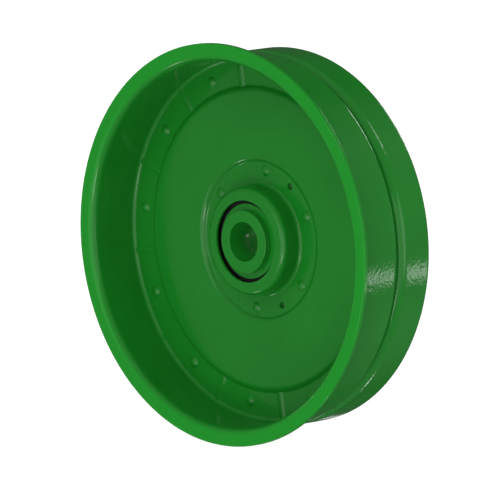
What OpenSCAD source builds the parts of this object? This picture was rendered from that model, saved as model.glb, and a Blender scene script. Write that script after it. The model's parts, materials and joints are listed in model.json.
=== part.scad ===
// Flanged track roller: two wheel halves pressed from sheet steel, riveted web to web,
// turning on two sealed ball bearings. Flanged sleeves carry the inner rings on the axle.
// The axle runs along Y. The flanged half is at -Y and the webs touch in the plane y = 0.
// All sizes are in millimetres.

/* [Rim] */
// Diameter over the front flange
flange_d = 254; // [246:1:260]
// Diameter of the cylindrical tread
tread_d = 238; // [234:0.5:240]
// From the flange's front face to the plane where the webs touch
front_depth = 40; // [36:0.1:46]
// From the same plane to the rear edge of the rim
rear_depth = 27.4; // [22:0.1:32]
// Thickness of the pressed sheet
sheet = 3.4; // [3:0.1:3.5]
// Radius of the hollow corner behind the flange
flange_bend_r = 1.8; // [1.5:0.1:3]
// Outside radius of the corners between tread and web
tread_bend_r = 6; // [5:0.1:7]
// Outside radius of the lip at the rear edge
lip_bend_r = 3.8; // [3.8:0.1:5]
// Radius of the opening inside the rear lip
lip_open_r = 110; // [107:0.5:112]
// Radius on the sheet's cut edges
cut_edge_r = 0.6; // [0.3:0.1:1.5]

/* [Web] */
// Height that the web between the rivet rings stands off the flat rings
bulge_h = 2.5; // [1.5:0.1:3]
// Inner radius of the flat rim ring
rim_ring_r = 98; // [97:0.1:99]
// Outer radius of the flat hub ring
hub_ring_r = 48.4; // [48:0.1:50]
// Middle radius of the bends in the two steps beside the bulge
step_bend_r = 3.4; // [3:0.1:4]
// Number of low ribs across the rim ring
rib_count = 12; // [12]
// Width of a rib
rib_w = 5; // [3:0.5:6]
// Height of a rib
rib_h = 0.7; // [0.4:0.1:0.9]

/* [Bearing housing] */
// Outside radius of the bearing housing drawn from each web
housing_r = 34.4; // [34.4]
// Radius of the hollow corner at the foot of the housing
housing_foot_r = 2.5; // [2:0.1:3]
// Outside radius of the housing's front corner
housing_bend_r = 3.8; // [3.8:0.1:4.2]
// Radius of the round opening in the housing's face
housing_open_r = 26; // [25.5:0.1:26.5]

/* [Rivets] */
// Radius of the rim rivet circle
rim_rivet_circle_r = 105; // [104:0.1:106]
// Radius of the hub rivet circle
hub_rivet_circle_r = 44.1; // [43:0.1:45]
// Radius of a rivet's shank and of its hole
rivet_r = 2; // [1.7:0.1:2.2]
// Radius of a rivet head
rivet_head_r = 3.6; // [3:0.1:3.8]
// Height of a rivet head
rivet_head_h = 1.7; // [1.2:0.1:2]
// Radius of the three plain holes between the hub rivets
plain_hole_r = 2.2; // [1.8:0.1:2.4]
// Angle of the first rivet above the horizontal, seen from the flange
first_rivet_angle = 24.9; // [0:0.1:30]

/* [Ball bearings] */
// Bore radius of a bearing
race_bore_r = 17.5; // [17.5]
// Outside radius of a bearing
race_outer_r = 31; // [31]
// Width of a bearing
race_w = 14; // [14]
// Radius of a ball
ball_r = 3.969; // [3.969]
// Number of balls in a bearing
ball_count = 11; // [11]
// Radius of the circle that the ball centres follow
pitch_r = 24.25; // [24.25]
// Clearance between the balls and the bottom of each raceway
ball_gap = 0.08; // [0.05:0.01:0.1]

/* [Axle sleeves] */
// Radius of the bore for the axle
bore_r = 12.5; // [12:0.1:12.8]
// Radius of a sleeve's collar
collar_r = 19.9; // [19:0.1:20.5]
// Thickness of a sleeve's collar
collar_w = 4.4; // [4:0.1:5]
// Radius of a dust flinger
flinger_r = 23.8; // [23:0.1:24.2]
// Thickness of a dust flinger
flinger_w = 0.8; // [0.6:0.1:1.2]
// Distance of the joint between the sleeves ahead of the web plane
sleeve_joint = 1.5; // [0:0.1:3]

/* [Hidden] */
$fn = 96;

half = sheet / 2;
paint = "forestgreen";
steel = "silver";
rubber = "black";
bend_step = 9;          // largest turn, in degrees, between two points of a bend
cut = 1;                // how far a cutting shape runs past what it cuts

rim_rivet_count = 12;
hub_rivet_count = 6;
plain_hole_count = 3;
rim_pitch = 360 / rim_rivet_count;
hub_pitch = 360 / hub_rivet_count;

// The steps beside the bulge: how far each bend turns, and the step's width along the radius
step_turn = acos(1 - bulge_h / (2 * step_bend_r));
step_w = 2 * step_bend_r * sin(step_turn);
step_tangent = step_bend_r * tan(step_turn / 2);
rib_overlap = 2.5;      // how far a rib runs inwards into the step
rib_sink = 0.5;         // how far a rib reaches down into the sheet

// Bearing details
race_shoulder_in = 21.9;
race_shoulder_out = 26.9;
race_chamfer = 1;
track_r = ball_r + 0.14;
seal_seat_r = 27.6;
seal_seat_deep = 1.5;
seal_w = 1;
seal_lip_r = race_shoulder_in + 0.1;
seal_bead_r = 0.3;
cage_in = 22.6;
cage_out = 25.9;
cage_w = 4.6;
cage_gap = 0.12;
cage_rivet_r = 0.8;
cage_rivet_head_r = 1.3;
cage_rivet_head_h = 0.5;

collar_face = race_w + flinger_w + collar_w;
edge_chamfer = 0.5;
flinger_chamfer = 0.3;

// ---- outlines: x is the distance from the axle and y runs along it ----

function unit(v) = v / norm(v);
function left(v) = [-v.y, v.x];
function turned(v, a) = [v.x * cos(a) - v.y * sin(a), v.x * sin(a) + v.y * cos(a)];
function turn_between(u, v) = atan2(u.x * v.y - u.y * v.x, u.x * v.x + u.y * v.y);

// Points of one bend of middle radius r at corner p, set off to the left of the sheet's middle line
function bend(a, p, b, r, off) =
    let (u = unit(p - a), v = unit(b - p), phi = turn_between(u, v), s = sign(phi))
    let (centre = p - u * r * tan(abs(phi) / 2) + left(u) * s * r)
    let (n = ceil(abs(phi) / bend_step))
    [for (k = [0:n]) centre + turned(-s * left(u) * (r - s * off), phi * k / n)];

// One side of a bent sheet whose middle line is a list of [x, y, bend radius]
function xy(q) = [q.x, q.y];
function side(line, off) =
    let (last = len(line) - 1)
    concat(
        [xy(line[0]) + left(unit(xy(line[1]) - xy(line[0]))) * off],
        [for (i = [1:last - 1]) each bend(xy(line[i - 1]), xy(line[i]), xy(line[i + 1]), line[i].z, off)],
        [xy(line[last]) + left(unit(xy(line[last]) - xy(line[last - 1]))) * off]
    );
function reversed(list) = [for (i = [len(list) - 1:-1:0]) list[i]];

// Square cut edge with rounded corners at the start of the line
function cut_edge(line) =
    let (p = xy(line[0]), u = unit(xy(line[1]) - p), flat = left(u) * (half - cut_edge_r), n = 3)
    concat(
        [for (k = [1:n]) p - flat + turned(-left(u) * cut_edge_r, -90 * k / n)],
        [for (k = [0:n - 1]) p + flat + turned(-u * cut_edge_r, -90 * k / n)]
    );

module sheet_outline(line) {
    polygon(concat(side(line, half), reversed(side(line, -half)), cut_edge(line)));
}

// Middle line of the web and housing, from the rim ring inwards. Positive y is away from the web plane.
function web_line() = [
    [rim_ring_r - step_tangent, half, step_bend_r],
    [rim_ring_r - step_w + step_tangent, half + bulge_h, step_bend_r],
    [hub_ring_r + step_w - step_tangent, half + bulge_h, step_bend_r],
    [hub_ring_r + step_tangent, half, step_bend_r],
    [housing_r - half, half, housing_foot_r + half],
    [housing_r - half, race_w + half, housing_bend_r - half],
    [housing_open_r, race_w + half, 0]
];

function front_line() = concat([
    [flange_d / 2 - cut_edge_r, front_depth - half, 0],
    [tread_d / 2 - half, front_depth - half, flange_bend_r + half],
    [tread_d / 2 - half, half, tread_bend_r - half]
], web_line());

function rear_line() = concat([
    [lip_open_r + cut_edge_r, rear_depth - half, 0],
    [tread_d / 2 - half, rear_depth - half, lip_bend_r - half],
    [tread_d / 2 - half, half, tread_bend_r - half]
], web_line());

// ---- placing ----

// Turns a shape that stands on +Z round to +Y
module along_axle() {
    rotate([-90, 0, 0]) children();
}

// Puts the rear copy of a shape at the front
module at_front() {
    mirror([0, 1, 0]) children();
}

module spun() {
    along_axle() rotate_extrude($fn = 180) children();
}

module ring_of(count, r, start) {
    for (k = [0:count - 1])
        rotate([0, -(start + k * 360 / count), 0]) translate([r, 0, 0]) children();
}

module rod(r, from, to) {
    translate([0, from, 0]) along_axle() cylinder(r = r, h = to - from);
}

// ---- wheel halves ----

module web_holes() {
    ring_of(rim_rivet_count, rim_rivet_circle_r, first_rivet_angle) rod(rivet_r, -cut, sheet + cut);
    ring_of(hub_rivet_count, hub_rivet_circle_r, first_rivet_angle) rod(rivet_r, -cut, sheet + cut);
    ring_of(plain_hole_count, hub_rivet_circle_r, first_rivet_angle + hub_pitch / 2)
        rod(plain_hole_r, -cut, sheet + cut);
}

// Low round-topped ribs across the rim ring, midway between the rivets
module ring_ribs() {
    top_r = (rib_w * rib_w / 4 + rib_h * rib_h) / (2 * rib_h);
    rib_in = rim_ring_r - rib_overlap;
    rib_length = tread_d / 2 - half - rib_in;
    ring_of(rib_count, rib_in, first_rivet_angle - rim_pitch / 2) intersection() {
        translate([0, sheet + rib_h - top_r, 0]) rotate([0, 90, 0])
            cylinder(r = top_r, h = rib_length);
        translate([-cut, sheet - rib_sink, -top_r])
            cube([rib_length + 2 * cut, rib_sink + rib_h + cut, 2 * top_r]);
    }
}

module wheel_half(line) {
    difference() {
        union() {
            spun() sheet_outline(line);
            ring_ribs();
        }
        web_holes();
    }
}

module front_wheel_half() {
    color(paint) at_front() wheel_half(front_line());
}

module rear_wheel_half() {
    color(paint) wheel_half(rear_line());
}

// ---- rivets ----

module rivet_head() {
    dome_r = (rivet_head_r * rivet_head_r + rivet_head_h * rivet_head_h) / (2 * rivet_head_h);
    along_axle() rotate_extrude() intersection() {
        translate([0, rivet_head_h - dome_r]) circle(r = dome_r);
        square([rivet_head_r, rivet_head_h]);
    }
}

module rivet() {
    rod(rivet_r, -sheet, sheet);
    translate([0, sheet, 0]) rivet_head();
    at_front() translate([0, sheet, 0]) rivet_head();
}

module rim_rivets() {
    color(paint) ring_of(rim_rivet_count, rim_rivet_circle_r, first_rivet_angle) rivet();
}

module hub_rivets() {
    color(paint) ring_of(hub_rivet_count, hub_rivet_circle_r, first_rivet_angle) rivet();
}

// ---- axle sleeves and flingers ----

// Sleeve with its collar outwards at +Y; its tube starts at y = from
module sleeve(from) {
    spun() polygon([
        [bore_r, from],
        [race_bore_r, from],
        [race_bore_r, collar_face - collar_w],
        [collar_r, collar_face - collar_w],
        [collar_r, collar_face - edge_chamfer],
        [collar_r - edge_chamfer, collar_face],
        [bore_r, collar_face]
    ]);
}

module flinger() {
    spun() polygon([
        [race_bore_r, race_w],
        [flinger_r, race_w],
        [flinger_r, race_w + flinger_w - flinger_chamfer],
        [flinger_r - flinger_chamfer, race_w + flinger_w],
        [race_bore_r, race_w + flinger_w]
    ]);
}

module front_sleeve() {
    color(paint) at_front() sleeve(sleeve_joint);
}

module rear_sleeve() {
    color(paint) sleeve(-sleeve_joint);
}

module front_flinger() {
    color(paint) at_front() flinger();
}

module rear_flinger() {
    color(paint) flinger();
}

// ---- ball bearings: the rear one, from y = 0 to y = race_w ----

module ball_track(side_sign) {
    translate([pitch_r + side_sign * (ball_r + ball_gap - track_r), race_w / 2]) circle(r = track_r);
}

module outer_race() {
    spun() difference() {
        polygon([
            [race_shoulder_out, seal_seat_deep],
            [seal_seat_r, seal_seat_deep],
            [seal_seat_r, 0],
            [race_outer_r - race_chamfer, 0],
            [race_outer_r, race_chamfer],
            [race_outer_r, race_w - race_chamfer],
            [race_outer_r - race_chamfer, race_w],
            [seal_seat_r, race_w],
            [seal_seat_r, race_w - seal_seat_deep],
            [race_shoulder_out, race_w - seal_seat_deep]
        ]);
        ball_track(1);
    }
}

module inner_race() {
    spun() difference() {
        polygon([
            [race_bore_r, race_chamfer],
            [race_bore_r + race_chamfer, 0],
            [race_shoulder_in, 0],
            [race_shoulder_in, race_w],
            [race_bore_r + race_chamfer, race_w],
            [race_bore_r, race_w - race_chamfer]
        ]);
        ball_track(-1);
    }
}

module balls() {
    ring_of(ball_count, pitch_r, 0) translate([0, race_w / 2, 0]) sphere(r = ball_r, $fn = 48);
}

// Half of the two-piece machined cage: a ring with half of a round pocket for each ball
module cage_half() {
    middle = race_w / 2;
    difference() {
        rod(cage_out, middle, middle + cage_w);
        rod(cage_in, middle - cut, middle + cage_w + cut);
        ring_of(ball_count, cage_in - cut, 0) translate([0, middle, 0]) rotate([0, 90, 0])
            rotate([0, 0, 45]) cylinder(r = ball_r + cage_gap, h = cage_out - cage_in + 2 * cut);
        cage_rivet_places() rod(cage_rivet_r, middle - cut, middle + cage_w + cut);
    }
}

module cage_rivet_places() {
    ring_of(ball_count, pitch_r, 180 / ball_count) children();
}

module cage_rivets() {
    middle = race_w / 2;
    cage_rivet_places() {
        rod(cage_rivet_r, middle - cage_w, middle + cage_w);
        rod(cage_rivet_head_r, middle + cage_w, middle + cage_w + cage_rivet_head_h);
        rod(cage_rivet_head_r, middle - cage_w - cage_rivet_head_h, middle - cage_w);
    }
}

// Rubber seal in the outer ring's outboard seat, with a thin lip beside the inner ring
module seal() {
    low = race_w - seal_seat_deep;
    spun() polygon([
        [seal_lip_r, low + seal_bead_r],
        [seal_lip_r + seal_bead_r, low],
        [seal_seat_r, low],
        [seal_seat_r, low + seal_w],
        [seal_lip_r + seal_bead_r, low + seal_w],
        [seal_lip_r, low + seal_w - seal_bead_r]
    ]);
}

// The same place on the bearing's inboard side
module inboard() {
    translate([0, race_w, 0]) mirror([0, 1, 0]) children();
}

module front_outer_race() {
    color(steel) at_front() outer_race();
}

module front_inner_race() {
    color(steel) at_front() inner_race();
}

module front_balls() {
    color(steel) at_front() balls();
}

module front_outboard_cage_half() {
    color(steel) at_front() cage_half();
}

module front_inboard_cage_half() {
    color(steel) at_front() inboard() cage_half();
}

module front_cage_rivets() {
    color(steel) at_front() cage_rivets();
}

module front_outboard_seal() {
    color(rubber) at_front() seal();
}

module front_inboard_seal() {
    color(rubber) at_front() inboard() seal();
}

module rear_outer_race() {
    color(steel) outer_race();
}

module rear_inner_race() {
    color(steel) inner_race();
}

module rear_balls() {
    color(steel) balls();
}

module rear_outboard_cage_half() {
    color(steel) cage_half();
}

module rear_inboard_cage_half() {
    color(steel) inboard() cage_half();
}

module rear_cage_rivets() {
    color(steel) cage_rivets();
}

module rear_outboard_seal() {
    color(rubber) seal();
}

module rear_inboard_seal() {
    color(rubber) inboard() seal();
}

front_wheel_half();
rear_wheel_half();
rim_rivets();
hub_rivets();
front_sleeve();
rear_sleeve();
front_flinger();
rear_flinger();
front_outer_race();
front_inner_race();
front_balls();
front_outboard_cage_half();
front_inboard_cage_half();
front_cage_rivets();
front_outboard_seal();
front_inboard_seal();
rear_outer_race();
rear_inner_race();
rear_balls();
rear_outboard_cage_half();
rear_inboard_cage_half();
rear_cage_rivets();
rear_outboard_seal();
rear_inboard_seal();
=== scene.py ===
import json
import math

import bmesh
import bpy
from mathutils import Matrix, Vector


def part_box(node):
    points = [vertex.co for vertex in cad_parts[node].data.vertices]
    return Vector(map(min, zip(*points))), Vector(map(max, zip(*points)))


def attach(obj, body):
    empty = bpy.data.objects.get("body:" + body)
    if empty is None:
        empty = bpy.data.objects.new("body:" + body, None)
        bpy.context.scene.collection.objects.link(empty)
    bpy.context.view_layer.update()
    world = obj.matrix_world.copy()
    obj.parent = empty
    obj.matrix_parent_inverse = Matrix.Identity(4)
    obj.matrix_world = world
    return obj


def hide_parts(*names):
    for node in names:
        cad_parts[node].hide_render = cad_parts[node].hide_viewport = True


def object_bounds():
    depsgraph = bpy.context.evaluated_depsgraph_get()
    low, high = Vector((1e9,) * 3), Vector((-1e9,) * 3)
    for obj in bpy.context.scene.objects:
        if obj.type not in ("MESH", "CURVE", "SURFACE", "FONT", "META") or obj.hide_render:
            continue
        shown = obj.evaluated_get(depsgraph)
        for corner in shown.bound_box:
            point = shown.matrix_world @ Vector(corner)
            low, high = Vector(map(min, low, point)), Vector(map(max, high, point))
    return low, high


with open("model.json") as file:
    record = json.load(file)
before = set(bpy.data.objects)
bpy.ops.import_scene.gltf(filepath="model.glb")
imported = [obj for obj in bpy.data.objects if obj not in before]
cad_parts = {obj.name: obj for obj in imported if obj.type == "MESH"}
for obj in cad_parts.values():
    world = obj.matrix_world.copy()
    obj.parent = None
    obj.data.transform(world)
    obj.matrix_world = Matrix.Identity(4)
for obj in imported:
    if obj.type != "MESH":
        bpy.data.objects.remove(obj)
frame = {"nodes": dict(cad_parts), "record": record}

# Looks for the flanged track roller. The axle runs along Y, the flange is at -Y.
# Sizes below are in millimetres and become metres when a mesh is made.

CAD_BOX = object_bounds()
MM = 0.001

# ---------------------------------------------------------------- sizes

FRONT_LOW, FRONT_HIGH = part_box("front_wheel_half")
REAR_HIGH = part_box("rear_wheel_half")[1]
SLEEVE_LOW, SLEEVE_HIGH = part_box("front_sleeve")
FLINGER_LOW, FLINGER_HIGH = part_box("front_flinger")

FLANGE_R = FRONT_HIGH.x / MM
TREAD_R = REAR_HIGH.x / MM
FRONT_DEPTH = -FRONT_LOW.y / MM
REAR_DEPTH = REAR_HIGH.y / MM
COLLAR_R = SLEEVE_HIGH.x / MM
COLLAR_FACE = -SLEEVE_LOW.y / MM
SLEEVE_JOINT = -SLEEVE_HIGH.y / MM
FLINGER_R = FLINGER_HIGH.x / MM
FLINGER_FACE = -FLINGER_LOW.y / MM
RACE_W = -FLINGER_HIGH.y / MM

SHEET = 3.4
HALF = SHEET / 2
FLANGE_BEND_R = 1.8
TREAD_BEND_R = 6.0
LIP_BEND_R = 3.8
LIP_OPEN_R = 110.0
CUT_EDGE_R = 0.6
BULGE_H = 2.5
RIM_RING_R = 98.0
HUB_RING_R = 48.4
STEP_BEND_R = 3.4
HOUSING_R = 34.4
HOUSING_FOOT_R = 2.5
HOUSING_BEND_R = 3.8
HOUSING_OPEN_R = 26.0
RIB_W, RIB_H = 5.0, 0.7
RIB_OVERLAP = 2.5
RIM_RIVETS, RIM_RIVET_CIRCLE_R = 12, 105.0
HUB_RIVETS, HUB_RIVET_CIRCLE_R = 6, 44.1
PLAIN_HOLES, PLAIN_HOLE_R = 3, 2.2
RIVET_R, RIVET_HEAD_R, RIVET_HEAD_H = 2.0, 3.6, 1.7
FIRST_RIVET = 24.9
BORE_R, RACE_BORE_R = 12.5, 17.5
BORE_MOUTH = 6.0
COLLAR_EDGE_R, COLLAR_BACK_R, BORE_EDGE_R = 0.5, 0.2, 0.3
JOINT_EDGE_R, TUBE_EDGE_R = 0.45, 0.25
FLINGER_EDGE_R = 0.25

# How finely round shapes are divided
TURNED_COLUMNS = 180
SMALL_COLUMNS = 40
DOME_STEPS = 10
RIB_COLUMNS = 5
WHEEL_COLUMN_ANGLE = 2.0
SHARP_ANGLE = 32
TOUCH, ON_AXLE = 1e-4, 1e-6
DRILL_SPARE = 2

# ---------------------------------------------------------------- outlines


def turned(v, degrees):
    return Matrix.Rotation(math.radians(degrees), 2) @ v


def left(v):
    return Vector((-v.y, v.x))


def bend(a, p, b, r, off, step=6.0):
    """Points of one bend of middle radius r at corner p, set off to the left of the middle line."""
    u, v = (p - a).normalized(), (b - p).normalized()
    phi = math.degrees(math.atan2(u.x * v.y - u.y * v.x, u.dot(v)))
    s = math.copysign(1, phi)
    centre = p - u * r * math.tan(math.radians(abs(phi)) / 2) + left(u) * s * r
    n = max(2, math.ceil(abs(phi) / step))
    return [centre + turned(-s * left(u) * (r - s * off), phi * k / n) for k in range(n + 1)]


def side(line, off):
    pts = [Vector(q[:2]) for q in line]
    out = [pts[0] + left((pts[1] - pts[0]).normalized()) * off]
    for i in range(1, len(line) - 1):
        out += bend(pts[i - 1], pts[i], pts[i + 1], line[i][2], off)
    out.append(pts[-1] + left((pts[-1] - pts[-2]).normalized()) * off)
    return out


def cut_edge(line, n=4):
    """Square cut edge with rounded corners at the start of the line."""
    a, b = Vector(line[0][:2]), Vector(line[1][:2])
    u = (b - a).normalized()
    flat = left(u) * (HALF - CUT_EDGE_R)
    first = [a - flat + turned(-left(u) * CUT_EDGE_R, -90 * k / n) for k in range(1, n + 1)]
    return first + [a + flat + turned(-u * CUT_EDGE_R, -90 * k / n) for k in range(n)]


def supported(loop, near=0.25, longest=6.0):
    """Adds points beside the ends of each long straight, so that its shading stays flat."""
    out = []
    for i, a in enumerate(loop):
        b = loop[(i + 1) % len(loop)]
        out.append(a)
        length = (b - a).length
        if length > 4 * near:
            inner = max(1, math.ceil((length - 2 * near) / longest))
            for k in range(inner + 1):
                t = (near + (length - 2 * near) * k / inner) / length
                out.append(a.lerp(b, t))
    return out


def web_line():
    turn = math.acos(1 - BULGE_H / (2 * STEP_BEND_R))
    width = 2 * STEP_BEND_R * math.sin(turn)
    tangent = STEP_BEND_R * math.tan(turn / 2)
    return [
        (RIM_RING_R - tangent, HALF, STEP_BEND_R),
        (RIM_RING_R - width + tangent, HALF + BULGE_H, STEP_BEND_R),
        (HUB_RING_R + width - tangent, HALF + BULGE_H, STEP_BEND_R),
        (HUB_RING_R + tangent, HALF, STEP_BEND_R),
        (HOUSING_R - HALF, HALF, HOUSING_FOOT_R + HALF),
        (HOUSING_R - HALF, RACE_W + HALF, HOUSING_BEND_R - HALF),
        (HOUSING_OPEN_R, RACE_W + HALF, 0),
    ]


def front_line():
    return [
        (FLANGE_R - CUT_EDGE_R, FRONT_DEPTH - HALF, 0),
        (TREAD_R - HALF, FRONT_DEPTH - HALF, FLANGE_BEND_R + HALF),
        (TREAD_R - HALF, HALF, TREAD_BEND_R - HALF),
        *web_line(),
    ]


def rear_line():
    return [
        (LIP_OPEN_R + CUT_EDGE_R, REAR_DEPTH - HALF, 0),
        (TREAD_R - HALF, REAR_DEPTH - HALF, LIP_BEND_R - HALF),
        (TREAD_R - HALF, HALF, TREAD_BEND_R - HALF),
        *web_line(),
    ]


def sheet_loop(line):
    loop = side(line, HALF) + side(line, -HALF)[::-1] + cut_edge(line)
    return supported(loop)


# ---------------------------------------------------------------- meshes


def column_angles():
    """Angles of the columns: every 2 degrees, closer together across each rib."""
    rib = math.degrees(RIB_W / 2 / RIM_RIVET_CIRCLE_R)
    foot, clear = 1.06 * rib, 1.6 * rib
    pitch = 360 / RIM_RIVETS
    near = [k * rib / RIB_COLUMNS for k in range(-RIB_COLUMNS, RIB_COLUMNS + 1)] + [-foot, foot]
    free = pitch - 2 * clear
    steps = round(free / WHEEL_COLUMN_ANGLE)
    out = []
    for k in range(RIM_RIVETS):
        centre = FIRST_RIVET - pitch / 2 + k * pitch
        out += [centre + d for d in near]
        out += [centre + clear + free * i / steps for i in range(steps + 1)]
    return sorted(a % 360 for a in out)


def rib_height(r, angle):
    """How far the ribs across the rim ring stand up at one place."""
    pitch = 360 / RIM_RIVETS
    away = (angle - FIRST_RIVET + pitch) % pitch - pitch / 2
    across = math.radians(away) * r / (RIB_W / 2)
    return RIB_H * max(0.0, 1 - across * across)


def shade(mesh):
    """Smooth shading, but for edges where the faces meet at more than SHARP_ANGLE."""
    mesh.polygons.foreach_set("use_smooth", [True] * len(mesh.polygons))
    mesh.set_sharp_from_angle(angle=math.radians(SHARP_ANGLE))


def new_object(name, bm):
    bmesh.ops.recalc_face_normals(bm, faces=bm.faces)
    mesh = bpy.data.meshes.new(name)
    bm.to_mesh(mesh)
    bm.free()
    shade(mesh)
    obj = bpy.data.objects.new(name, mesh)
    bpy.context.scene.collection.objects.link(obj)
    return obj


def lathe(bm, loop, angles, place, closed=True):
    """Turns a loop of (radius, distance along the axle) round the axle. place gives each point."""
    rings = []
    for a in angles:
        ring = []
        for p in loop:
            if p.x < ON_AXLE and rings:
                ring.append(rings[0][len(ring)])
            else:
                ring.append(bm.verts.new(place(p.x, p.y, a)))
        rings.append(ring)
    count = len(loop)
    last = count if closed else count - 1
    for i, ring in enumerate(rings):
        nxt = rings[(i + 1) % len(rings)]
        for j in range(last):
            k = (j + 1) % count
            corners = [ring[j], ring[k], nxt[k], nxt[j]]
            unique = list(dict.fromkeys(corners))
            if len(unique) > 2:
                bm.faces.new(unique)
    return rings


def about_axle(r, y, angle):
    a = math.radians(angle)
    return Vector((r * math.cos(a), y, r * math.sin(a))) * MM


def even(count):
    return [360 * k / count for k in range(count)]


def ring_places(count, r, start):
    return [about_axle(r, 0, start + 360 * k / count) for k in range(count)]


def around(centre):
    """Places points about a line that runs along the axle's direction through centre."""
    return lambda r, y, angle: centre + about_axle(r, y, angle)


def drill(obj, holes):
    """Cuts round holes, each a (place, radius in mm), right through both webs along the axle."""
    bm = bmesh.new()
    for centre, r in holes:
        reach = SHEET + BULGE_H + DRILL_SPARE
        loop = [Vector((0, -reach)), Vector((r, -reach)), Vector((r, reach)), Vector((0, reach))]
        lathe(bm, loop, even(SMALL_COLUMNS), around(centre), closed=False)
    cutter = new_object("cutter", bm)
    mod = obj.modifiers.new("holes", "BOOLEAN")
    mod.operation, mod.solver, mod.object = "DIFFERENCE", "EXACT", cutter
    bpy.context.view_layer.update()
    done = bpy.data.meshes.new_from_object(obj.evaluated_get(bpy.context.evaluated_depsgraph_get()))
    obj.modifiers.clear()
    obj.data = done
    done.name = obj.name
    bpy.data.objects.remove(cutter)
    shade(done)


def wheel_half(name, line, sign):
    """One pressed half. sign is -1 for the flanged one, which lies towards -Y."""

    def place(r, y, a):
        if y > SHEET - TOUCH and RIM_RING_R - RIB_OVERLAP < r < TREAD_R - HALF:
            y = max(y, SHEET + rib_height(r, a))
        return about_axle(r, sign * y, a)

    bm = bmesh.new()
    lathe(bm, sheet_loop(line), column_angles(), place)
    obj = new_object(name, bm)
    holes = [(c, RIVET_R) for c in ring_places(RIM_RIVETS, RIM_RIVET_CIRCLE_R, FIRST_RIVET)]
    holes += [(c, RIVET_R) for c in ring_places(HUB_RIVETS, HUB_RIVET_CIRCLE_R, FIRST_RIVET)]
    plain = FIRST_RIVET + 180 / HUB_RIVETS
    holes += [(c, PLAIN_HOLE_R) for c in ring_places(PLAIN_HOLES, HUB_RIVET_CIRCLE_R, plain)]
    drill(obj, holes)
    return obj


def rivet_loop():
    """Half outline of a rivet: a low dome with a soft rim at each end of the shank."""
    dome_r = (RIVET_HEAD_R ** 2 + RIVET_HEAD_H ** 2) / (2 * RIVET_HEAD_H)
    reach = math.asin(RIVET_HEAD_R / dome_r)
    dome = []
    for k in range(DOME_STEPS + 1):
        t = reach * k / DOME_STEPS
        dome.append(Vector((dome_r * math.sin(t), SHEET + RIVET_HEAD_H - dome_r * (1 - math.cos(t)))))
    dome[0].x = 0
    upper = dome + [Vector((RIVET_R, SHEET))]
    lower = [Vector((p.x, -p.y)) for p in upper[::-1]]
    return upper + lower


def rivets(name, count, circle_r):
    bm = bmesh.new()
    for centre in ring_places(count, circle_r, FIRST_RIVET):
        lathe(bm, rivet_loop(), even(SMALL_COLUMNS), around(centre), closed=False)
    return new_object(name, bm)


def rounded(points, radii, step=15.0):
    """A closed loop with some corners rounded."""
    out = []
    for i, p in enumerate(points):
        a, b = points[i - 1], points[(i + 1) % len(points)]
        out += bend(a, p, b, radii[i], 0, step) if radii[i] else [p]
    return supported(out, near=0.15)


def turned_part(name, loop, sign):
    """A ring turned about the axle. sign is -1 for the front one of a pair."""
    bm = bmesh.new()
    lathe(bm, loop, even(TURNED_COLUMNS), lambda r, y, a: about_axle(r, sign * y, a))
    return new_object(name, bm)


def sleeve(name, sign, start):
    """Flanged sleeve. start is where its tube begins, measured towards its collar."""
    back = FLINGER_FACE
    points = [
        Vector((BORE_R, start)), Vector((RACE_BORE_R, start)), Vector((RACE_BORE_R, back)),
        Vector((COLLAR_R, back)), Vector((COLLAR_R, COLLAR_FACE)), Vector((BORE_R, COLLAR_FACE)),
    ]
    radii = [JOINT_EDGE_R, TUBE_EDGE_R, 0, COLLAR_BACK_R, COLLAR_EDGE_R, BORE_EDGE_R]
    return turned_part(name, rounded(points, radii), sign)


def flinger(name, sign):
    points = [
        Vector((RACE_BORE_R, RACE_W)), Vector((FLINGER_R, RACE_W)),
        Vector((FLINGER_R, FLINGER_FACE)), Vector((RACE_BORE_R, FLINGER_FACE)),
    ]
    return turned_part(name, rounded(points, [0, FLINGER_EDGE_R, FLINGER_EDGE_R, 0]), sign)


# ---------------------------------------------------------------- materials

# Noise scales are in changes per metre, bump depths in metres, and fades and reaches in mm
# inside or beyond the edge they belong to. The painted shade's reach is a share of the sheet's
# thickness.
TONE_SCALE, GLOSS_SCALE, PEEL_SCALE = 18, 60, 430
PEEL_DEPTH = 0.00013
PEEL_OFF_TREAD = 0.22
PEEL_FADE_START, PEEL_FADE_END = 1.2, 0.3
FACE_FADE_START, FACE_FADE_END, FACE_FADE_DEPTH = 3.2, 0.6, 0.3
MARK_DEPTH = 0.00001
SHINE, DULL_SHINE = 0.45, 0.25
# Black painted shade on the inner half of each housing opening's edge, in place of the shade that
# falls in the gap there.
OPENING_SHADE_COLOUR = (0.002, 0.002, 0.002)
OPENING_SHADE_REACH, OPENING_SHADE_FADE = 0.53, 0.15
OPENING_SHADE_FADE_START, OPENING_SHADE_FADE_END = 0.1, 0.3
WHITE = (1, 1, 1, 1)


def node(tree, kind, **inputs):
    made = tree.nodes.new(kind)
    for name, value in inputs.items():
        made.inputs[name.replace("_", " ")].default_value = value
    return made


def material(name):
    made = bpy.data.materials.new(name)
    made.use_nodes = True
    tree = made.node_tree
    shader = tree.nodes["Principled BSDF"]
    place = tree.nodes.new("ShaderNodeTexCoord")
    return made, tree, shader, place.outputs["Object"]


def noise(tree, where, scale, detail):
    made = node(tree, "ShaderNodeTexNoise", Scale=scale, Detail=detail, Roughness=0.5)
    tree.links.new(where, made.inputs["Vector"])
    return made.outputs["Fac"]


def spread(tree, value, low, high, start=0.3, end=0.7):
    made = node(tree, "ShaderNodeMapRange")
    for k, v in zip(("From Min", "From Max", "To Min", "To Max"), (start, end, low, high)):
        made.inputs[k].default_value = v
    tree.links.new(value, made.inputs["Value"])
    return made.outputs["Result"]


def ramp(tree, value, stops):
    made = tree.nodes.new("ShaderNodeValToRGB")
    band = made.color_ramp
    while len(band.elements) < len(stops):
        band.elements.new(0.5)
    for element, (at, colour) in zip(band.elements, stops):
        element.position = at
        element.color = (*colour, 1)
    tree.links.new(value, made.inputs["Fac"])
    return made.outputs["Color"]


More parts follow.
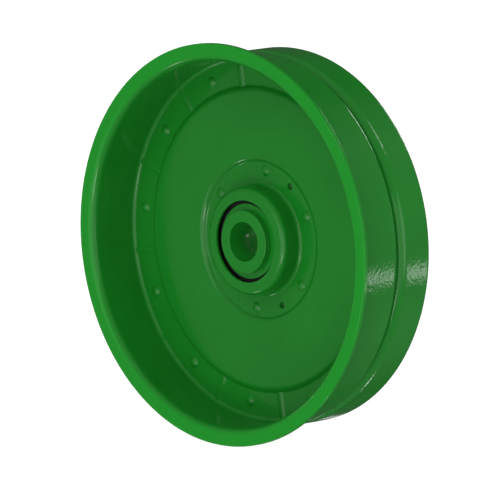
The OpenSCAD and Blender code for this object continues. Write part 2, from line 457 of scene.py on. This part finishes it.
def bump(tree, height, depth, strength=None):
    made = node(tree, "ShaderNodeBump", Strength=1, Distance=depth)
    tree.links.new(height, made.inputs["Height"])
    if strength is not None:
        tree.links.new(strength, made.inputs["Strength"])
    return made.outputs["Normal"]


def math_node(tree, operation, a, b):
    made = tree.nodes.new("ShaderNodeMath")
    made.operation = operation
    tree.links.new(a, made.inputs[0])
    tree.links.new(b, made.inputs[1])
    return made.outputs["Value"]


def radius_and_depth(tree, where):
    """Distance from the axle and position along it."""
    flat = node(tree, "ShaderNodeVectorMath")
    flat.operation = "MULTIPLY"
    flat.inputs[1].default_value = (1, 0, 1)
    tree.links.new(where, flat.inputs[0])
    radius = node(tree, "ShaderNodeVectorMath")
    radius.operation = "LENGTH"
    tree.links.new(flat.outputs["Vector"], radius.inputs[0])
    parts = tree.nodes.new("ShaderNodeSeparateXYZ")
    tree.links.new(where, parts.inputs["Vector"])
    return radius.outputs["Value"], parts.outputs["Y"]


def on_flange(tree, radius, depth):
    """1 on the flange's front face and 0 elsewhere, with a soft edge."""
    start, end = (TREAD_R - FACE_FADE_START) * MM, (TREAD_R - FACE_FADE_END) * MM
    outside = spread(tree, radius, 0, 1, start, end)
    start, end = (FACE_FADE_DEPTH - FRONT_DEPTH) * MM, (SHEET - FRONT_DEPTH) * MM
    ahead = spread(tree, depth, 1, 0, start, end)
    return math_node(tree, "MULTIPLY", outside, ahead)


def shade_in_opening(tree, radius, depth):
    """1 on the inner half of the edge round each housing's opening, which is painted black as painted
    shade.
    """
    start, end = (HOUSING_OPEN_R + OPENING_SHADE_FADE_START) * MM, (HOUSING_OPEN_R + OPENING_SHADE_FADE_END) * MM
    inside = spread(tree, radius, 1, 0, start, end)
    away = node(tree, "ShaderNodeMath")
    away.operation = "ABSOLUTE"
    tree.links.new(depth, away.inputs[0])
    middle = RACE_W + OPENING_SHADE_REACH * SHEET
    start, end = (middle - OPENING_SHADE_FADE) * MM, (middle + OPENING_SHADE_FADE) * MM
    deep = spread(tree, away.outputs["Value"], 1, 0, start, end)
    return math_node(tree, "MULTIPLY", inside, deep)


def mixed(tree, factor, under, over):
    made = tree.nodes.new("ShaderNodeMix")
    made.data_type = "RGBA"
    made.inputs["B"].default_value = (*over, 1)
    tree.links.new(factor, made.inputs["Factor"])
    tree.links.new(under, made.inputs["A"])
    return made.outputs["Result"]


def green_paint(name, dark, light, rough, flange_painted_light=0.0):
    """Gloss enamel with slow changes of tone and gloss, and an orange peel that is strongest
    on the tread. lift is how much lighter the flange's front face is painted, as painted light;
    it also adds black painted shade in the housing openings."""
    made, tree, shader, where = material(name)
    tone = ramp(tree, noise(tree, where, TONE_SCALE, 4), [(0.35, dark), (0.65, light)])
    radius, depth = radius_and_depth(tree, where)
    if flange_painted_light:
        # Painted light and shade: the flange's front face is painted lighter, standing in for the
        # brighter light it gets, and each housing opening's inner edge is painted black as shade.
        face = on_flange(tree, radius, depth)
        tone = mixed(tree, face, tone, tuple(c * (1 + flange_painted_light) for c in light))
        opening_shade = shade_in_opening(tree, radius, depth)
        tone = mixed(tree, opening_shade, tone, OPENING_SHADE_COLOUR)
        shine = spread(tree, math_node(tree, "MAXIMUM", face, opening_shade), SHINE, DULL_SHINE, 0, 1)
        tree.links.new(shine, shader.inputs["Specular IOR Level"])
    else:
        shader.inputs["Specular IOR Level"].default_value = SHINE
    tree.links.new(tone, shader.inputs["Base Color"])
    gloss = spread(tree, noise(tree, where, GLOSS_SCALE, 4), rough - 0.03, rough + 0.04)
    tree.links.new(gloss, shader.inputs["Roughness"])
    peel = noise(tree, where, PEEL_SCALE, 2)
    start, end = (TREAD_R - PEEL_FADE_START) * MM, (TREAD_R - PEEL_FADE_END) * MM
    tread = spread(tree, radius, PEEL_OFF_TREAD, 1, start, end)
    tree.links.new(bump(tree, peel, PEEL_DEPTH, tread), shader.inputs["Normal"])
    return made


def turning_marks(tree, where, along):
    """Fine marks that run round the axle. along is their number per metre of its length."""
    stretch = node(tree, "ShaderNodeMapping")
    stretch.inputs["Scale"].default_value = (60, along, 60)
    tree.links.new(where, stretch.inputs["Vector"])
    return noise(tree, stretch.outputs["Vector"], 1.0, 3)


def ground_metal(name, colour, rough):
    """Bright steel or brass with turning marks."""
    made, tree, shader, where = material(name)
    lines = turning_marks(tree, where, 2400)
    low = tuple(c * 0.85 for c in colour)
    tree.links.new(ramp(tree, lines, [(0.3, low), (0.7, colour)]), shader.inputs["Base Color"])
    tree.links.new(spread(tree, lines, rough - 0.06, rough + 0.08), shader.inputs["Roughness"])
    tree.links.new(bump(tree, lines, MARK_DEPTH), shader.inputs["Normal"])
    shader.inputs["Metallic"].default_value = 1.0
    return made


def seal_rubber():
    """Matt black rubber with a slight bloom."""
    made, tree, shader, where = material("seal_rubber")
    dark, light = (0.006, 0.006, 0.007), (0.014, 0.013, 0.014)
    tone = ramp(tree, noise(tree, where, 150, 4), [(0.35, dark), (0.7, light)])
    tree.links.new(tone, shader.inputs["Base Color"])
    tree.links.new(spread(tree, noise(tree, where, 300, 3), 0.6, 0.8), shader.inputs["Roughness"])
    tree.links.new(bump(tree, noise(tree, where, 1800, 3), 0.00003), shader.inputs["Normal"])
    shader.inputs["Specular IOR Level"].default_value = 0.3
    return made


def thin_paint():
    """Thin dull paint that shows the turning marks of the steel under it."""
    made, tree, shader, where = material("bore_steel")
    lines = turning_marks(tree, where, 1500)
    tone = ramp(tree, lines, [(0.3, (0.014, 0.31, 0.03)), (0.7, (0.02, 0.38, 0.036))])
    tree.links.new(tone, shader.inputs["Base Color"])
    tree.links.new(spread(tree, lines, 0.3, 0.42), shader.inputs["Roughness"])
    tree.links.new(bump(tree, lines, MARK_DEPTH), shader.inputs["Normal"])
    shader.inputs["Specular IOR Level"].default_value = 0.2
    return made


def pale_floor():
    """Pale floor that glows a little, so that it stays white round the object."""
    made, _, shader, _ = material("floor")
    shader.inputs["Base Color"].default_value = (0.35, 0.35, 0.35, 1)
    shader.inputs["Roughness"].default_value = 0.9
    shader.inputs["Specular IOR Level"].default_value = 0
    shader.inputs["Emission Color"].default_value = WHITE
    shader.inputs["Emission Strength"].default_value = 0.95
    return made


def give(obj, made):
    obj.data.materials.clear()
    obj.data.materials.append(made)


# ---------------------------------------------------------------- the object

# The flange's front face is painted a third lighter as painted light, and the housing openings get
# black painted shade.
PAINT = green_paint("wheel_paint", (0.0090, 0.235, 0.0165), (0.0105, 0.258, 0.019), 0.12, flange_painted_light=0.33)
HUB_PAINT = green_paint("hub_paint", (0.0095, 0.24, 0.017), (0.011, 0.262, 0.0195), 0.14)
STEEL = ground_metal("bearing_steel", (0.62, 0.62, 0.64), 0.25)
BORE_PAINT = thin_paint()
CAGE = ground_metal("cage_brass", (0.75, 0.55, 0.22), 0.3)
RUBBER = seal_rubber()


def stand_for(obj, node_name, made):
    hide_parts(node_name)
    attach(obj, body_of_node(node_name))
    give(obj, made)


def body_of_node(node_name):
    groups = frame["record"]["behaviour"]["bodies"]
    return next(body for body, members in groups.items() if node_name in members)


def build_wheel():
    front = wheel_half("flanged_half", front_line(), -1)
    stand_for(front, "front_wheel_half", PAINT)
    rear = wheel_half("plain_half", rear_line(), 1)
    stand_for(rear, "rear_wheel_half", PAINT)
    rim = rivets("rim_rivet_set", RIM_RIVETS, RIM_RIVET_CIRCLE_R)
    stand_for(rim, "rim_rivets", PAINT)
    hub = rivets("hub_rivet_set", HUB_RIVETS, HUB_RIVET_CIRCLE_R)
    stand_for(hub, "hub_rivets", PAINT)


def build_sleeves():
    front = sleeve("front_flanged_sleeve", -1, SLEEVE_JOINT)
    stand_for(front, "front_sleeve", HUB_PAINT)
    rear = sleeve("rear_flanged_sleeve", 1, -SLEEVE_JOINT)
    stand_for(rear, "rear_sleeve", HUB_PAINT)
    thin_bore(rear)
    stand_for(flinger("front_dust_flinger", -1), "front_flinger", HUB_PAINT)
    stand_for(flinger("rear_dust_flinger", 1), "rear_flinger", HUB_PAINT)


def thin_bore(obj):
    """The paint is thin inside the rear sleeve's bore, away from its mouth."""
    obj.data.materials.append(BORE_PAINT)
    for face in obj.data.polygons:
        r = math.hypot(face.center.x, face.center.z) / MM
        y = face.center.y / MM
        if r < BORE_R + JOINT_EDGE_R and y < COLLAR_FACE - BORE_MOUTH:
            face.material_index = 1


def dress_bearings():
    for end in ("front", "rear"):
        for part in ("outer_race", "inner_race", "balls"):
            give(frame["nodes"][f"{end}_{part}"], STEEL)
        for part in ("outboard_cage_half", "inboard_cage_half", "cage_rivets"):
            give(frame["nodes"][f"{end}_{part}"], CAGE)
        for part in ("outboard_seal", "inboard_seal"):
            give(frame["nodes"][f"{end}_{part}"], RUBBER)


# ---------------------------------------------------------------- stage


def direction(azimuth, elevation):
    """Unit vector towards a camera or light. Azimuth 0 is at -Y and 90 at +X."""
    a, e = math.radians(azimuth), math.radians(elevation)
    return Vector((math.sin(a) * math.cos(e), -math.cos(a) * math.cos(e), math.sin(e)))


VIEW_AZIMUTH, VIEW_ELEVATION = 45.29, 8.88
VIEW_DISTANCE = 4.7037
LENS_MM, SENSOR_MM = 541.2, 36
AIM_BEHIND_FLANGE = 1.5
AIM_RIGHT, AIM_UP = 0.01794, -0.00298

# Distances of the lamps in metres, and the sizes of the larger ones
FAR, NEAR = 2.2, 1.6
SCREEN, WIDE = (1.3, 1.8), (1.6, 1.2)
FLOOR_REACH, WALL_R, WALL_H = 40, 30, 30

# Brightness of the room: all round, from the left, and from behind on the left
ROOM, SOFT_ROOM, DARK_ROOM = 0.33, 0.25, 0.06


def camera():
    back = direction(VIEW_AZIMUTH, VIEW_ELEVATION)
    turn = (-back).to_track_quat("-Z", "Y")
    right, up = turn @ Vector((1, 0, 0)), turn @ Vector((0, 1, 0))
    data = bpy.data.cameras.new("camera")
    data.lens, data.sensor_width = LENS_MM, SENSOR_MM
    data.clip_start, data.clip_end = 0.1, 200
    cam = bpy.data.objects.new("camera", data)
    flange_centre = Vector((0, (AIM_BEHIND_FLANGE - FRONT_DEPTH) * MM, 0))
    cam.location = flange_centre + right * AIM_RIGHT + up * AIM_UP + back * VIEW_DISTANCE
    cam.rotation_mode = "QUATERNION"
    cam.rotation_quaternion = turn
    bpy.context.scene.collection.objects.link(cam)
    bpy.context.scene.camera = cam


def lamp(name, azimuth, elevation, distance, size, watts, shape="ELLIPSE", glossy=True):
    """Soft lamp aimed at the object. size is its width and height in metres."""
    data = bpy.data.lights.new(name, "AREA")
    data.shape, data.energy = shape, watts
    data.size, data.size_y = size
    made = bpy.data.objects.new(name, data)
    away = direction(azimuth, elevation)
    made.location = away * distance
    made.rotation_mode = "QUATERNION"
    made.rotation_quaternion = away.to_track_quat("Z", "Y")
    made.visible_glossy = glossy
    bpy.context.scene.collection.objects.link(made)


def stage():
    """Floor with a round wall far out. They aren't mirrored in the paint and don't light it."""
    bm = bmesh.new()
    bmesh.ops.create_grid(bm, x_segments=8, y_segments=8, size=FLOOR_REACH)
    wall = {"radius1": WALL_R, "radius2": WALL_R, "depth": WALL_H}
    wall["matrix"] = Matrix.Translation((0, 0, WALL_H / 2))
    bmesh.ops.create_cone(bm, cap_ends=False, segments=96, **wall)
    floor = new_object("floor", bm)
    floor.location = (0, 0, CAD_BOX[0].z)
    floor.data.materials.append(pale_floor())
    floor.visible_shadow = False
    floor.visible_diffuse = False
    floor.visible_glossy = False


def lamps():
    """Screens and fills give the even light, and the small lamps highlights like the photo's."""
    for k in range(2):
        lamp(f"front_{k}", -6 + 33 * k, -6, FAR, SCREEN, 6, "RECTANGLE")
        lamp(f"fill_above_{k}", 35 * k, 47, FAR, WIDE, 5, glossy=False)
    lamp("fill_below", 15, -50, FAR, WIDE, 3.5, glossy=False)
    lamp("front_2", 60, -4, FAR, SCREEN, 3, "RECTANGLE")
    lamp("spark", 22, -24, FAR, (0.5, 0.5), 3)
    lamp("below_left", -50, -50, 1.8, (0.25, 0.25), 0.9)
    lamp("right", 95, 2, FAR, (1.2, 1.8), 7)
    lamp("band", 136.5, -14.9, NEAR, (0.26, 0.18), 0.5)
    lamp("high_right", 135, 49, NEAR, (0.3, 0.5), 1.8)
    lamp("below", 171, -59, NEAR, (0.2, 0.2), 1.1)
    lamp("below_back", 218.9, -22.5, NEAR, (0.12, 0.12), 0.05)
    lamp("back", 189, 19.4, FAR, (0.55, 0.55), 3.6)
    lamp("fill_back", 180, 0, FAR, (1.4, 1.4), 12, glossy=False)
    lamp("left", -100, 8, FAR, (1.0, 1.0), 12)


def room():
    """Even soft light, a little dimmer from the left and much dimmer from behind on the left."""
    world = bpy.data.worlds.new("world")
    world.use_nodes = True
    tree = world.node_tree
    toward = node(tree, "ShaderNodeTexCoord").outputs["Generated"]
    parts = node(tree, "ShaderNodeSeparateXYZ")
    tree.links.new(toward, parts.inputs["Vector"])
    behind = spread(tree, parts.outputs["Y"], 0, 1, 0.15, 0.5)
    leftward = spread(tree, parts.outputs["X"], 1, 0, -0.2, 0.4)
    dim = math_node(tree, "MULTIPLY", behind, leftward)
    front_left = spread(tree, parts.outputs["X"], SOFT_ROOM, ROOM, -0.55, -0.1)
    strength = math_node(tree, "MINIMUM", spread(tree, dim, ROOM, DARK_ROOM, 0, 1), front_left)
    tree.links.new(strength, tree.nodes["Background"].inputs["Strength"])
    tree.nodes["Background"].inputs["Color"].default_value = WHITE
    bpy.context.scene.world = world


camera()
room()
stage()
lamps()
bpy.context.scene.view_settings.view_transform = "Standard"
build_wheel()
build_sleeves()
dress_bearings()
